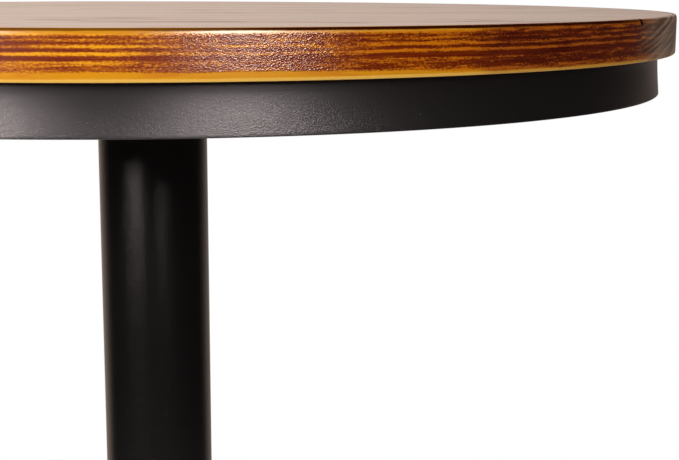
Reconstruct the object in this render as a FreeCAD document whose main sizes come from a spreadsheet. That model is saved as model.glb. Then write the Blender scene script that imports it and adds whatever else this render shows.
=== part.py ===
import FreeCAD, Part
import Sketcher

import os

# Pub table at bar height: a round top of edge-glued boards on a rolled steel band and a four-armed frame,
# carried by one round column on a weighted disc base with four levelling feet.
# Millimetres, +Z up, origin on the floor under the middle of the top. The boards run along X.

SIZES = {
    # Wooden top
    "table_height": 1066.8,
    "top_diameter": 711.2,
    "top_thickness": 24.4,
    "edge_board_width": 127.0,
    "top_rim_bevel": 1.6,
    "under_rim_bevel": 1.2,
    # Apron band under the top
    "band_inset": 10.9,
    "band_height": 26.4,
    "band_thickness": 3.0,
    "band_flare": 1.5,
    "band_edge_round": 0.6,
    # Frame arms, rectangular tube
    "arm_width": 30.0,
    "arm_height": 20.0,
    "arm_wall": 2.0,
    "arm_gap": 5.0,
    # Lugs inside the band
    "lug_screw_setback": 16.0,
    "lug_end_margin": 14.0,
    "lug_width": 28.0,
    "lug_thickness": 3.0,
    # Wood screws with pan heads and a cross recess
    "screw_diameter": 4.5,
    "screw_bite": 15.0,
    "screw_point": 4.0,
    "screw_head_diameter": 9.5,
    "screw_head_height": 3.2,
    "screw_head_round": 1.2,
    "screw_recess_width": 1.2,
    "screw_recess_span": 5.2,
    "screw_recess_depth": 1.6,
    "screw_hole_clearance": 0.5,
    "pilot_clearance": 0.1,
    "pilot_spare_depth": 1.0,
    # Hub plate and column flange
    "hub_thickness": 5.0,
    "hub_margin": 25.0,
    "flange_thickness": 6.0,
    "flange_margin": 15.0,
    "flange_bolt_offset": 22.0,
    # Bolts, washers and nuts, all of one thread
    "bolt_diameter": 8.0,
    "bolt_hole_clearance": 0.4,
    "bolt_head_flats": 13.0,
    "bolt_head_height": 5.3,
    "bolt_end_proud": 2.0,
    "nut_height": 6.5,
    "washer_diameter": 16.0,
    "washer_thickness": 1.6,
    "washer_hole_clearance": 0.2,
    "thread_clearance": 0.1,
    # Column, its plug and its collar
    "column_diameter": 76.2,
    "column_wall": 2.0,
    "weld_fit": 0.1,
    "plug_thickness": 12.0,
    "base_bolt_inset": 14.0,
    "base_bolt_bite": 10.0,
    "collar_lip": 2.0,
    "collar_skirt": 5.0,
    "collar_slope_width": 6.0,
    "collar_slope_height": 9.0,
    # Base: pressed cover over a heavy disc
    "base_diameter": 508.0,
    "weight_thickness": 12.0,
    "cover_thickness": 1.5,
    "cover_clearance": 0.25,
    "cover_corner_round": 6.0,
    "cover_rise": 12.0,
    "cover_land_width": 16.0,
    "cover_hole_clearance": 0.4,
    # Levelling feet
    "foot_inset": 39.0,
    "foot_pad_diameter": 34.0,
    "foot_pad_skirt": 2.5,
    "foot_pad_cone": 3.0,
    "foot_pad_edge": 1.0,
    "foot_pad_crown": 18.0,
    "foot_thread_diameter": 10.0,
    "foot_hex_flats": 15.0,
    "foot_hex_height": 4.2,
    "foot_stop_gap": 0.3,
    "foot_spigot_diameter": 6.0,
    "foot_spigot_depth": 3.0,
    "foot_spigot_clearance": 0.05,
    "foot_stem_proud": 0.4,
    "foot_stem_chamfer": 0.8,
    # How far a cutting shape runs past what it cuts
    "cut_overrun": 5.0,
}

BOARD_COUNT = 5
ARM_ANGLES = (0, 90, 180, 270)
LUG_ANGLES = (30, 60, 120, 150, 210, 240, 300, 330)
BOLT_ANGLES = (45, 135, 225, 315)
FOOT_ANGLES = (45, 135, 225, 315)
HEX_ANGLES = (0, 60, 120, 180, 240, 300)
HEX_FACE_SHARE = 0.95
CORNER_LIMIT_SHARE = 0.8
SAME_PLACE = 1e-6

doc = FreeCAD.newDocument("pub_table")
sheet = doc.addObject("Spreadsheet::Sheet", "dims")
for row, (alias, size) in enumerate(SIZES.items(), 1):
    sheet.set(f"A{row}", alias)
    sheet.set(f"B{row}", str(size))
    sheet.setAlias(f"B{row}", alias)
doc.recompute()

# Levels and radii that several pieces share, as expressions on the sheet

top_radius = "(dims.top_diameter / 2)"
top_underside = "(dims.table_height - dims.top_thickness)"
band_outer = f"({top_radius} - dims.band_inset)"
band_inner = f"({band_outer} - dims.band_thickness)"
band_underside = f"({top_underside} - dims.band_height)"
arm_underside = f"({top_underside} - dims.arm_height)"
hub_underside = f"({arm_underside} - dims.hub_thickness)"
flange_underside = f"({hub_underside} - dims.flange_thickness)"
lug_underside = f"({top_underside} - dims.lug_thickness)"
lug_screw_radius = f"({band_inner} - dims.lug_screw_setback)"
outer_seam = f"({top_radius} - dims.edge_board_width)"
board_width = f"(2 * {outer_seam} / {BOARD_COUNT - 2})"
arm_screw_radii = (board_width, f"(({outer_seam} + {top_radius}) / 2)")
column_outer = "(dims.column_diameter / 2)"
column_inner = f"({column_outer} - dims.column_wall)"
flange_bolt_radius = f"({column_outer} + dims.flange_bolt_offset)"
base_bolt_radius = f"({column_inner} - dims.base_bolt_inset)"
foot_pad_top = "(dims.foot_pad_skirt + dims.foot_pad_cone)"
foot_hex_top = f"({foot_pad_top} + dims.foot_hex_height)"
ground_gap = f"({foot_hex_top} + dims.foot_stop_gap)"
weight_top = f"({ground_gap} + dims.weight_thickness)"
cover_outer = "(dims.base_diameter / 2)"
cover_inner = f"({cover_outer} - dims.cover_thickness)"
cover_corner = f"min(dims.cover_corner_round; {CORNER_LIMIT_SHARE} * dims.weight_thickness)"
cover_hole = f"({column_outer} + dims.cover_hole_clearance)"
cover_land_edge = f"({cover_hole} + dims.cover_land_width)"
cover_land_top = f"({weight_top} + dims.cover_rise + dims.cover_thickness)"
bolt_hole = "(dims.bolt_diameter / 2 + dims.bolt_hole_clearance)"
tapped_hole = "(dims.bolt_diameter / 2 + dims.thread_clearance)"
screw_hole = "(dims.screw_diameter / 2 + dims.screw_hole_clearance)"


def value(expression):
    """The number that an expression on the sheet gives now."""
    return float(sheet.evalExpression(expression))


def around(radius, angle):
    """The X and Y expressions of a point at a radius and an angle in degrees about the column's axis."""
    return f"{radius} * cos({angle} deg)", f"{radius} * sin({angle} deg)"


def new_body(label):
    """An empty body."""
    body = doc.addObject("PartDesign::Body", label)
    body.Label = label
    return body


def new_sketch(body, plane_role, level="0"):
    """An empty sketch on one of the body's own planes, lifted off it by a level."""
    sketch = body.newObject("Sketcher::SketchObject", f"{body.Name}_sketch")
    plane = next(feature for feature in body.Origin.OriginFeatures if feature.Role == plane_role)
    sketch.AttachmentSupport = [(plane, "")]
    sketch.MapMode = "FlatFace"
    sketch.setExpression("AttachmentOffset.Base.z", level)
    return sketch


def constrain(sketch, kind, places, expression):
    """A dimension of a sketch, bound to an expression."""
    number = sketch.addConstraint(Sketcher.Constraint(kind, *places, value(expression)))
    sketch.setExpression(f"Constraints[{number}]", expression)


def draw_outline(sketch, corners):
    """A closed outline of straight edges through corners given as pairs of expressions."""
    points = [FreeCAD.Vector(value(x), value(y), 0) for x, y in corners]
    following = points[1:] + points[:1]
    edges = [sketch.addGeometry(Part.LineSegment(*ends), False) for ends in zip(points, following)]
    for edge, next_edge in zip(edges, edges[1:] + edges[:1]):
        sketch.addConstraint(Sketcher.Constraint("Coincident", edge, 2, next_edge, 1))
    for edge, (x, y) in zip(edges, corners):
        constrain(sketch, "DistanceX", (-1, 1, edge, 1), x)
        constrain(sketch, "DistanceY", (-1, 1, edge, 1), y)


def draw_circle(sketch, radius, centre=("0", "0")):
    """A circle about a centre given as a pair of expressions."""
    middle = FreeCAD.Vector(value(centre[0]), value(centre[1]), 0)
    circle = sketch.addGeometry(Part.Circle(middle, FreeCAD.Vector(0, 0, 1), value(radius)), False)
    constrain(sketch, "DistanceX", (-1, 1, circle, 3), centre[0])
    constrain(sketch, "DistanceY", (-1, 1, circle, 3), centre[1])
    constrain(sketch, "Radius", (circle,), radius)


def draw_spoke(sketch, start, width, end_radius):
    """A straight-sided outline along +X whose far end is an arc about the column's axis."""
    near, far, half = value(start), value(end_radius), value(width) / 2
    reach = (far**2 - half**2) ** 0.5
    corners = [(near, -half), (reach, -half), (reach, half), (near, half)]
    low_near, low_far, high_far, high_near = (FreeCAD.Vector(x, y, 0) for x, y in corners)
    low = sketch.addGeometry(Part.LineSegment(low_near, low_far), False)
    tip = sketch.addGeometry(Part.Arc(low_far, FreeCAD.Vector(far, 0, 0), high_far), False)
    high = sketch.addGeometry(Part.LineSegment(high_far, high_near), False)
    root = sketch.addGeometry(Part.LineSegment(high_near, low_near), False)
    for one, one_end, other, other_end in (
        (low, 2, tip, 1),
        (tip, 2, high, 1),
        (high, 2, root, 1),
        (root, 2, low, 1),
        (tip, 3, -1, 1),
    ):
        sketch.addConstraint(Sketcher.Constraint("Coincident", one, one_end, other, other_end))
    sketch.addConstraint(Sketcher.Constraint("Horizontal", low))
    sketch.addConstraint(Sketcher.Constraint("Horizontal", high))
    sketch.addConstraint(Sketcher.Constraint("Vertical", root))
    constrain(sketch, "Radius", (tip,), end_radius)
    constrain(sketch, "DistanceX", (-1, 1, root, 1), start)
    constrain(sketch, "DistanceY", (-1, 1, high, 2), f"{width} / 2")
    constrain(sketch, "DistanceY", (-1, 1, low, 1), f"-{width} / 2")


def pad(body, sketch, length):
    """A sketch raised along +Z."""
    feature = body.newObject("PartDesign::Pad", f"{body.Name}_pad")
    feature.Profile = sketch
    feature.setExpression("Length", length)
    doc.recompute()
    return feature


def pocket(body, sketch, depth=None):
    """A sketch cut down into a body to a depth, or right through it both ways."""
    before = body.Shape.Volume
    feature = body.newObject("PartDesign::Pocket", f"{body.Name}_pocket")
    feature.Profile = sketch
    if depth:
        feature.setExpression("Length", depth)
        feature.Reversed = True
    else:
        feature.Type = "ThroughAll"
        feature.Midplane = True
    doc.recompute()
    if body.Shape.Volume >= before:
        raise RuntimeError(f"{feature.Name} cuts nothing")
    return feature


def turn(body, corners):
    """A profile of radius and height pairs, turned all round the Z axis."""
    sketch = new_sketch(body, "XZ_Plane")
    draw_outline(sketch, corners)
    feature = body.newObject("PartDesign::Revolution", f"{body.Name}_turned")
    feature.Profile = sketch
    feature.ReferenceAxis = (sketch, ["V_Axis"])
    doc.recompute()
    return feature


def round_circles(body, base, radius, circles):
    """A fillet on the circular edges of a feature that lie at the given radius and height pairs."""
    found = []
    for number, edge in enumerate(base.Shape.Edges, 1):
        if edge.Curve.TypeId != "Part::GeomCircle":
            continue
        found_at = (edge.Curve.Radius, edge.Curve.Center.z)
        for circle in circles:
            wanted = (value(circle[0]), value(circle[1]))
            if all(abs(a - b) < SAME_PLACE for a, b in zip(found_at, wanted)):
                found.append(f"Edge{number}")
    if len(found) < len(circles):
        raise RuntimeError(f"{body.Name} has no edge to round")
    feature = body.newObject("PartDesign::Fillet", f"{body.Name}_round")
    feature.Base = (base, found)
    feature.setExpression("Radius", radius)
    doc.recompute()
    return feature


def place(thing, x="0", y="0", z="0", angle=0):
    """Sets where a thing stands, and how far it is turned about Z."""
    thing.Placement.Rotation = FreeCAD.Rotation(FreeCAD.Vector(0, 0, 1), angle)
    for axis, expression in zip("xyz", (x, y, z)):
        thing.setExpression(f"Placement.Base.{axis}", expression)


def primitive(kind, label, z="0", **sizes):
    """A Part primitive on the Z axis with its sizes bound to expressions."""
    thing = doc.addObject(f"Part::{kind}", label)
    for name, expression in sizes.items():
        thing.setExpression(name, expression)
    place(thing, z=z)
    return thing


def boolean(kind, label, base, tool):
    """A Part boolean of two objects."""
    thing = doc.addObject(f"Part::{kind}", label)
    thing.Base = base
    thing.Tool = tool
    return thing


def group(label, pattern, places):
    """Copies of one piece, each turned by an angle about Z and then moved by X and Y expressions."""
    copies = []
    for number, (x, y, angle) in enumerate(places, 1):
        copy = doc.addObject("App::Link", f"{label}_{number}")
        copy.LinkedObject = pattern
        copy.LinkTransform = True
        place(copy, x, y, angle=angle)
        copies.append(copy)
    thing = doc.addObject("Part::Compound", label)
    thing.Links = copies
    return thing


pieces = []


def keep(thing, label):
    """Names a finished piece."""
    thing.Label = label
    pieces.append(thing)
    return thing


# Plates and tubes: one sketch of circles, padded


def plate(label, level, thickness, outer, holes):
    """A round plate with round holes, each hole a radius and a centre."""
    body = new_body(label)
    sketch = new_sketch(body, "XY_Plane", level)
    draw_circle(sketch, outer)
    for radius, centre in holes:
        draw_circle(sketch, radius, centre)
    pad(body, sketch, thickness)
    return body


# Screws, bolts and nuts


def wood_screw(label, seat, grip):
    """A pan-head wood screw whose head bears upwards on a seat and whose shank passes through a grip."""
    shank = "dims.screw_diameter / 2"
    head = "dims.screw_head_diameter / 2"
    head_bottom = f"({seat} - dims.screw_head_height)"
    tip = f"({seat} + {grip} + dims.screw_bite)"
    body = new_body(label)
    turn(
        body,
        [
            ("0", head_bottom),
            (f"{head} - dims.screw_head_round", head_bottom),
            (head, f"{head_bottom} + dims.screw_head_round"),
            (head, seat),
            (shank, seat),
            (shank, f"{tip} - dims.screw_point"),
            ("0", tip),
        ],
    )
    arm, half = "dims.screw_recess_span / 2", "dims.screw_recess_width / 2"
    recess = new_sketch(body, "XY_Plane", head_bottom)
    cross = [(arm, half), (half, half), (half, arm)]
    cross += [(f"-{x}", y) for x, y in reversed(cross)]
    cross += [(x, f"-{y}") for x, y in reversed(cross)]
    draw_outline(recess, cross)
    pocket(body, recess, "dims.screw_recess_depth")
    return body


def hexagon(label, level, height, flats, chamfered_face):
    """A hexagonal prism with the corners of one face, "lower" or "upper", turned off."""
    prism = primitive("Prism", f"{label}_prism", level, Circumradius=f"{flats} / sqrt(3)", Height=height)
    prism.Polygon = len(HEX_ANGLES)
    face = f"{flats} / 2 * {HEX_FACE_SHARE}"
    spread = f"{face} + {height} * sqrt(3)"
    ends = {"lower": (face, spread), "upper": (spread, face)}[chamfered_face]
    cone = primitive("Cone", f"{label}_cone", level, Radius1=ends[0], Radius2=ends[1], Height=height)
    return boolean("Common", f"{label}_hexagon", prism, cone)


def bolt(label, seat, shank_top):
    """A hexagon-head bolt whose head bears upwards on a washer under a seat."""
    head_top = f"({seat} - dims.washer_thickness)"
    head_bottom = f"({head_top} - dims.bolt_head_height)"
    head = hexagon(label, head_bottom, "dims.bolt_head_height", "dims.bolt_head_flats", "lower")
    length = f"({shank_top} - {head_top})"
    shank = primitive("Cylinder", f"{label}_shank", head_top, Radius="dims.bolt_diameter / 2", Height=length)
    return boolean("Fuse", label, head, shank)


def washer(label, seat):
    """A plain washer that bears upwards on a seat."""
    hole = "(dims.bolt_diameter / 2 + dims.washer_hole_clearance)"
    level = f"({seat} - dims.washer_thickness)"
    return plate(label, level, "dims.washer_thickness", "dims.washer_diameter / 2", [(hole, ("0", "0"))])


def nut(label, level):
    """A hexagon nut that stands on a level."""
    block = hexagon(label, level, "dims.nut_height", "dims.bolt_head_flats", "upper")
    bore = primitive("Cylinder", f"{label}_bore", level, Radius=tapped_hole, Height="dims.nut_height")
    return boolean("Cut", label, block, bore)


# Wooden top: a disc cut from five glued boards, drilled from below for the screws.
# The two edge boards have a width of their own, and the boards between them share the rest.

disc = new_body("top_disc")
turn(
    disc,
    [
        ("0", top_underside),
        (f"{top_radius} - dims.under_rim_bevel", top_underside),
        (top_radius, f"{top_underside} + dims.under_rim_bevel"),
        (top_radius, "dims.table_height - dims.top_rim_bevel"),
        (f"{top_radius} - dims.top_rim_bevel", "dims.table_height"),
        ("0", "dims.table_height"),
    ],
)

arm_screw_places = [(*around(radius, angle), angle) for angle in ARM_ANGLES for radius in arm_screw_radii]
lug_screw_places = [(*around(lug_screw_radius, angle), angle) for angle in LUG_ANGLES]
pilot = primitive(
    "Cylinder",
    "pilot_hole",
    f"({top_underside} - dims.cut_overrun)",
    Radius="dims.screw_diameter / 2 + dims.pilot_clearance",
    Height="dims.cut_overrun + dims.screw_bite + dims.pilot_spare_depth",
)
pilots = group("pilot_holes", pilot, arm_screw_places + lug_screw_places)

for number in range(1, BOARD_COUNT + 1):
    near_seam = f"({number - 1 - BOARD_COUNT / 2} * {board_width})"
    strip_width = board_width
    if number in (1, BOARD_COUNT):
        strip_width = "dims.edge_board_width + dims.cut_overrun"
    if number == 1:
        near_seam = f"(-{top_radius} - dims.cut_overrun)"
    strip = doc.addObject("Part::Box", f"board_strip_{number}")
    strip.setExpression("Length", "dims.top_diameter + 2 * dims.cut_overrun")
    strip.setExpression("Width", strip_width)
    strip.setExpression("Height", "dims.top_thickness + 2 * dims.cut_overrun")
    place(strip, f"-{top_radius} - dims.cut_overrun", near_seam, f"{top_underside} - dims.cut_overrun")
    blank = boolean("Common", f"board_blank_{number}", disc, strip)
    board = boolean("Cut", f"board_{number}", blank, pilots)
    keep(board, f"top_board_{number}")

# Apron band: flat bar rolled into a hoop, its edges broken, that stands out a little more at its lower edge

band = new_body("band")
band_corners = [
    (f"({band_inner} + dims.band_flare)", band_underside),
    (f"({band_outer} + dims.band_flare)", band_underside),
    (band_outer, top_underside),
    (band_inner, top_underside),
]
band_turned = turn(band, band_corners)
round_circles(band, band_turned, "dims.band_edge_round", band_corners)
keep(band, "apron_band")

# Frame arms: rectangular tube from the middle out to the band, drilled for screws

for number, angle in enumerate(ARM_ANGLES, 1):
    arm = new_body(f"arm_{number}")
    arm_sketch = new_sketch(arm, "XY_Plane", arm_underside)
    draw_spoke(arm_sketch, "(dims.arm_width / 2 + dims.arm_gap)", "dims.arm_width", band_inner)
    for radius in arm_screw_radii:
        draw_circle(arm_sketch, screw_hole, (radius, "0"))
    pad(arm, arm_sketch, "dims.arm_height")
    side = "(dims.arm_width / 2 - dims.arm_wall)"
    floor, ceiling = f"({arm_underside} + dims.arm_wall)", f"({top_underside} - dims.arm_wall)"
    hollow = new_sketch(arm, "YZ_Plane")
    draw_outline(hollow, [(f"-{side}", floor), (side, floor), (side, ceiling), (f"-{side}", ceiling)])
    pocket(arm, hollow)
    place(arm, angle=angle)
    keep(arm, f"frame_arm_{number}")

# Lugs: small plates welded inside the band, each with one screw hole

lug = new_body("lug")
lug_sketch = new_sketch(lug, "XY_Plane", lug_underside)
draw_spoke(lug_sketch, f"({lug_screw_radius} - dims.lug_end_margin)", "dims.lug_width", band_inner)
draw_circle(lug_sketch, screw_hole, (lug_screw_radius, "0"))
pad(lug, lug_sketch, "dims.lug_thickness")
keep(group("lugs", lug, [("0", "0", angle) for angle in LUG_ANGLES]), "band_lugs")

# Screws that hold the boards down on the arms and the lugs

arm_screw = wood_screw("arm_screw", arm_underside, "dims.arm_height")
keep(group("arm_screw_set", arm_screw, arm_screw_places), "arm_screws")
lug_screw = wood_screw("lug_screw", lug_underside, "dims.lug_thickness")
keep(group("lug_screw_set", lug_screw, lug_screw_places), "lug_screws")

# Hub plate under the arms, and the flange welded on the column's upper end

flange_bolt_centres = [around(flange_bolt_radius, angle) for angle in BOLT_ANGLES]
flange_holes = [(bolt_hole, centre) for centre in flange_bolt_centres]
hub_rim = f"({flange_bolt_radius} + dims.hub_margin)"
hub = plate("hub", hub_underside, "dims.hub_thickness", hub_rim, flange_holes)
keep(hub, "hub_plate")
flange_rim = f"({flange_bolt_radius} + dims.flange_margin)"
flange = plate("flange", flange_underside, "dims.flange_thickness", flange_rim, flange_holes)
keep(flange, "column_flange")

flange_bolt_top = f"({arm_underside} + dims.nut_height + dims.bolt_end_proud)"
flange_bolt_places = [(x, y, angle) for (x, y), angle in zip(flange_bolt_centres, BOLT_ANGLES)]
flange_bolt = bolt("flange_bolt", flange_underside, flange_bolt_top)
keep(group("flange_bolt_set", flange_bolt, flange_bolt_places), "flange_bolts")
flange_washer = washer("flange_washer", flange_underside)
keep(group("flange_washer_set", flange_washer, flange_bolt_places), "flange_washers")
flange_nut = nut("flange_nut", arm_underside)
keep(group("flange_nut_set", flange_nut, flange_bolt_places), "flange_nuts")

# Column: round tube from the base weight up to the flange, with a tapped plug welded in its lower end

column_length = f"({flange_underside} - {weight_top})"
column = plate("column", weight_top, column_length, column_outer, [(column_inner, ("0", "0"))])
keep(column, "column_tube")

base_bolt_centres = [around(base_bolt_radius, angle) for angle in BOLT_ANGLES]
plug_holes = [(tapped_hole, centre) for centre in base_bolt_centres]
plug = plate("plug", weight_top, "dims.plug_thickness", f"({column_inner} - dims.weld_fit)", plug_holes)
keep(plug, "column_plug")

# Collar: a turned ring welded round the column that clamps the cover

collar_inner = f"({column_outer} + dims.weld_fit)"
collar_lip = f"({collar_inner} + dims.collar_lip)"
collar_rim = f"({collar_lip} + dims.collar_slope_width)"
collar_shoulder = f"({cover_land_top} + dims.collar_skirt)"
collar_top = f"({collar_shoulder} + dims.collar_slope_height)"
collar = new_body("collar")
turn(
    collar,
    [
        (collar_inner, cover_land_top),
        (collar_rim, cover_land_top),
        (collar_rim, collar_shoulder),
        (collar_lip, collar_top),
        (collar_inner, collar_top),
    ],
)
keep(collar, "column_collar")

# Base weight: a thick disc with holes for the base bolts and tapped holes for the feet

foot_radius = f"({cover_outer} - dims.foot_inset)"
foot_centres = [around(foot_radius, angle) for angle in FOOT_ANGLES]
foot_hole = "(dims.foot_thread_diameter / 2 + dims.thread_clearance)"
weight_holes = [(bolt_hole, centre) for centre in base_bolt_centres]
weight_holes += [(foot_hole, centre) for centre in foot_centres]
weight_outer = f"({cover_inner} - dims.cover_clearance)"
weight = plate("weight", ground_gap, "dims.weight_thickness", weight_outer, weight_holes)
round_circles(weight, weight.Tip, cover_corner, [(weight_outer, weight_top)])
keep(weight, "base_weight")

# Base cover: pressed sheet, a low cone with a turned-down rim, that rests on the weight

cover = new_body("cover")
shoulder = f"({weight_top} + dims.cover_thickness)"
cover_inside_land = f"({cover_land_top} - dims.cover_thickness)"
cover_turned = turn(
    cover,
    [
        (cover_inner, ground_gap),
        (cover_outer, ground_gap),
        (cover_outer, shoulder),
        (cover_land_edge, cover_land_top),
        (cover_hole, cover_land_top),
        (cover_hole, cover_inside_land),
        (cover_land_edge, cover_inside_land),
        (cover_inner, weight_top),
    ],
)
outer_corner = round_circles(cover, cover_turned, cover_corner, [(cover_outer, shoulder)])
inner_round = f"{cover_corner} - dims.cover_thickness"
round_circles(cover, outer_corner, inner_round, [(cover_inner, weight_top)])
keep(cover, "base_cover")

# Bolts that pull the column's plug down on the weight

base_bolt_places = [(x, y, angle) for (x, y), angle in zip(base_bolt_centres, BOLT_ANGLES)]
base_bolt = bolt("base_bolt", ground_gap, f"({weight_top} + dims.base_bolt_bite)")
keep(group("base_bolt_set", base_bolt, base_bolt_places), "base_bolts")
base_washer = washer("base_washer", ground_gap)
keep(group("base_washer_set", base_washer, base_bolt_places), "base_washers")

# Levelling feet: a pad that stays on the floor, and a threaded stem that turns in it


def foot_pad(label):
    """A round glide with a socket for the stem's spigot."""
    rim = "(dims.foot_pad_diameter / 2)"
    socket = "(dims.foot_spigot_diameter / 2 + dims.foot_spigot_clearance)"
    socket_floor = f"({foot_pad_top} - dims.foot_spigot_depth - dims.foot_spigot_clearance)"
    body = new_body(label)
    turn(
        body,
        [
            ("0", "0"),
            (f"{rim} - dims.foot_pad_edge", "0"),
            (rim, "dims.foot_pad_edge"),
            (rim, "dims.foot_pad_skirt"),
            ("dims.foot_pad_crown / 2", foot_pad_top),
            (socket, foot_pad_top),
            (socket, socket_floor),
            ("0", socket_floor),
        ],
    )
    return body


def foot_stem(label):
    """A stem with a spigot below, a hexagon to turn it by, and a threaded shank above."""
    spigot, shank = "(dims.foot_spigot_diameter / 2)", "(dims.foot_thread_diameter / 2)"
    stem_top = f"({weight_top} + dims.foot_stem_proud)"
    spigot_bottom = f"({foot_pad_top} - dims.foot_spigot_depth)"
    body = new_body(label)
    hex_sketch = new_sketch(body, "XY_Plane", foot_pad_top)
    draw_outline(hex_sketch, [around("dims.foot_hex_flats / sqrt(3)", angle) for angle in HEX_ANGLES])
    pad(body, hex_sketch, "dims.foot_hex_height")
    turn(
        body,
        [
            ("0", spigot_bottom),
            (spigot, spigot_bottom),
            (spigot, foot_pad_top),
            (shank, foot_pad_top),
            (shank, f"{stem_top} - dims.foot_stem_chamfer"),
            (f"{shank} - dims.foot_stem_chamfer", stem_top),
            ("0", stem_top),
        ],
    )
    return body


for number, (x, y) in enumerate(foot_centres, 1):
    for make, label in ((foot_pad, f"foot_pad_{number}"), (foot_stem, f"foot_stem_{number}")):
        foot = make(f"{label}_body")
        place(foot, x, y)
        keep(foot, label)

# Check everything, then write each piece

doc.recompute()
for thing in doc.Objects:
    if "Invalid" in thing.State or "Error" in thing.State:
        raise RuntimeError(f"{thing.Label} failed: {thing.State}")
for piece in pieces:
    if piece.Shape.isNull() or not piece.Shape.isValid() or not piece.Shape.Solids:
        raise RuntimeError(f"{piece.Label} has no valid solid")

os.makedirs("parts", exist_ok=True)
for piece in pieces:
    piece.Shape.exportStep(f"parts/{piece.Label}.step")
print(f"{len(pieces)} pieces written")
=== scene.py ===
import bmesh
import bpy
import numpy as np
from mathutils import Matrix, Vector


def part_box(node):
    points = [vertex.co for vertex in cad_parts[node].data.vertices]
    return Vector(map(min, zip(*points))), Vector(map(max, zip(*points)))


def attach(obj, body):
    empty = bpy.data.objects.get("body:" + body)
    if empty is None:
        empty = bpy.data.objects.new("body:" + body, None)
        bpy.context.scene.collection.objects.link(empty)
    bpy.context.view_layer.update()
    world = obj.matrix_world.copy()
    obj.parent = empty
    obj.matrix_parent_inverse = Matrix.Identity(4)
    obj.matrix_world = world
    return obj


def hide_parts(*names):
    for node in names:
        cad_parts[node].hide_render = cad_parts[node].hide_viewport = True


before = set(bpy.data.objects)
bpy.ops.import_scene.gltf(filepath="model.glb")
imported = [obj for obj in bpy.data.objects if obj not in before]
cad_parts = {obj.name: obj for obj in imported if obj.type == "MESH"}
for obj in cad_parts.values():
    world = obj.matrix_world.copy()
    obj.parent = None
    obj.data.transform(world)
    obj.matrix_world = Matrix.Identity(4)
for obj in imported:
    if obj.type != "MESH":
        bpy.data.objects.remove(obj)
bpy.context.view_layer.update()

# Base weight: a thick disc of plain rolled iron, flame cut and drilled, that keeps the table upright.
# It lies under the pressed cover, so only its underside shows, blue-grey with scale and a few rust specks.
# The column's plug is cut from the same plate and welded inside the tube's lower end.

iron_scale_colour = (0.055, 0.058, 0.064)
iron_bare_colour = (0.12, 0.118, 0.115)
iron_rust_colour = (0.16, 0.062, 0.025)
iron_scale_lumps = (22, 22, 22)
iron_rust_lumps = (160, 160, 160)
iron_rust_strength = 0.6
iron_grain_lumps = (700, 700, 700)
iron_relief = 0.00015


class Tint:
    """A value in a material: one output socket of a node. Operators on values add Math nodes."""

    def __init__(self, socket):
        self.socket = socket
        self.tree = socket.id_data

    def feed(self, socket, value):
        """Puts a number, a colour or another value into a socket."""
        if isinstance(value, Tint):
            self.tree.links.new(value.socket, socket)
        elif socket.type == "RGBA":
            socket.default_value = (*value[:3], 1.0)
        else:
            socket.default_value = value

    def node(self, kind, settings=None, inputs=None, output=0):
        """A new node of the same material with settings and inputs, and one of its outputs as a value."""
        made = self.tree.nodes.new("ShaderNode" + kind)
        for name, setting in (settings or {}).items():
            if name == "stops":
                spare = made.color_ramp.elements
                for place, shade in setting[1:-1]:
                    spare.new(place)
                for stop, (place, shade) in zip(spare, setting):
                    stop.position = place
                    stop.color = (shade, shade, shade, 1.0)
            else:
                setattr(made, name, setting)
        for name, value in (inputs or {}).items():
            self.feed(made.inputs[name], value)
        return Tint(made.outputs[output])

    def beside(self, output):
        """Another output of the same node."""
        return Tint(self.socket.node.outputs[output])

    def math(self, operation, *values):
        """A Math node on values and numbers."""
        return self.node("Math", {"operation": operation}, dict(enumerate(values)))

    def __add__(self, other):
        return self.math("ADD", self, other)

    def __radd__(self, other):
        return self.math("ADD", other, self)

    def __sub__(self, other):
        return self.math("SUBTRACT", self, other)

    def __rsub__(self, other):
        return self.math("SUBTRACT", other, self)

    def __mul__(self, other):
        return self.math("MULTIPLY", self, other)

    def __rmul__(self, other):
        return self.math("MULTIPLY", other, self)

    def __truediv__(self, other):
        return self.math("DIVIDE", self, other)

    def __abs__(self):
        return self.math("ABSOLUTE", self)

    def root(self):
        """The square root of this value."""
        return self.math("SQRT", self)

    def larger(self, other):
        """The larger of two values."""
        return self.math("MAXIMUM", self, other)

    def rise(self, low, high):
        """Goes smoothly from 0 where this value is low to 1 where it is high."""
        limits = {"Value": self, "From Min": low, "From Max": high}
        return self.node("MapRange", {"interpolation_type": "SMOOTHSTEP"}, limits)

    def between(self, first, second):
        """A colour between two colours, with this value as the share of the second."""
        return self.node("Mix", {"data_type": "RGBA"}, {0: self, 6: first, 7: second}, 2)

    def parts(self):
        """The X, Y and Z of a vector."""
        x = self.node("SeparateXYZ", inputs={0: self})
        return x, x.beside("Y"), x.beside("Z")

    def stretched(self, per_metre):
        """A place counted in so many units to the metre along X, Y and Z."""
        return self.node("VectorMath", {"operation": "MULTIPLY"}, {0: self, 1: per_metre})

    def noise(self, per_metre, detail=3.0, roughness=0.55):
        """Noise from 0 to 1 at a place, with so many lumps to the metre along X, Y and Z."""
        lumps = self.stretched(per_metre)
        inputs = {"Vector": lumps, "Scale": 1.0, "Detail": detail, "Roughness": roughness}
        return self.node("TexNoise", inputs=inputs)

    def dimples(self, per_metre):
        """Round hollows, so many to the metre: the squared distance to the nearest of scattered points."""
        distance = self.node("TexVoronoi", inputs={"Vector": self.stretched(per_metre), "Scale": 1.0})
        return distance * distance

    def relief(self, depth):
        """A normal bent by this value taken as a height of so many metres."""
        inputs = {"Strength": 1.0, "Distance": depth, "Height": self}
        return self.node("Bump", inputs=inputs, output="Normal")


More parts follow.
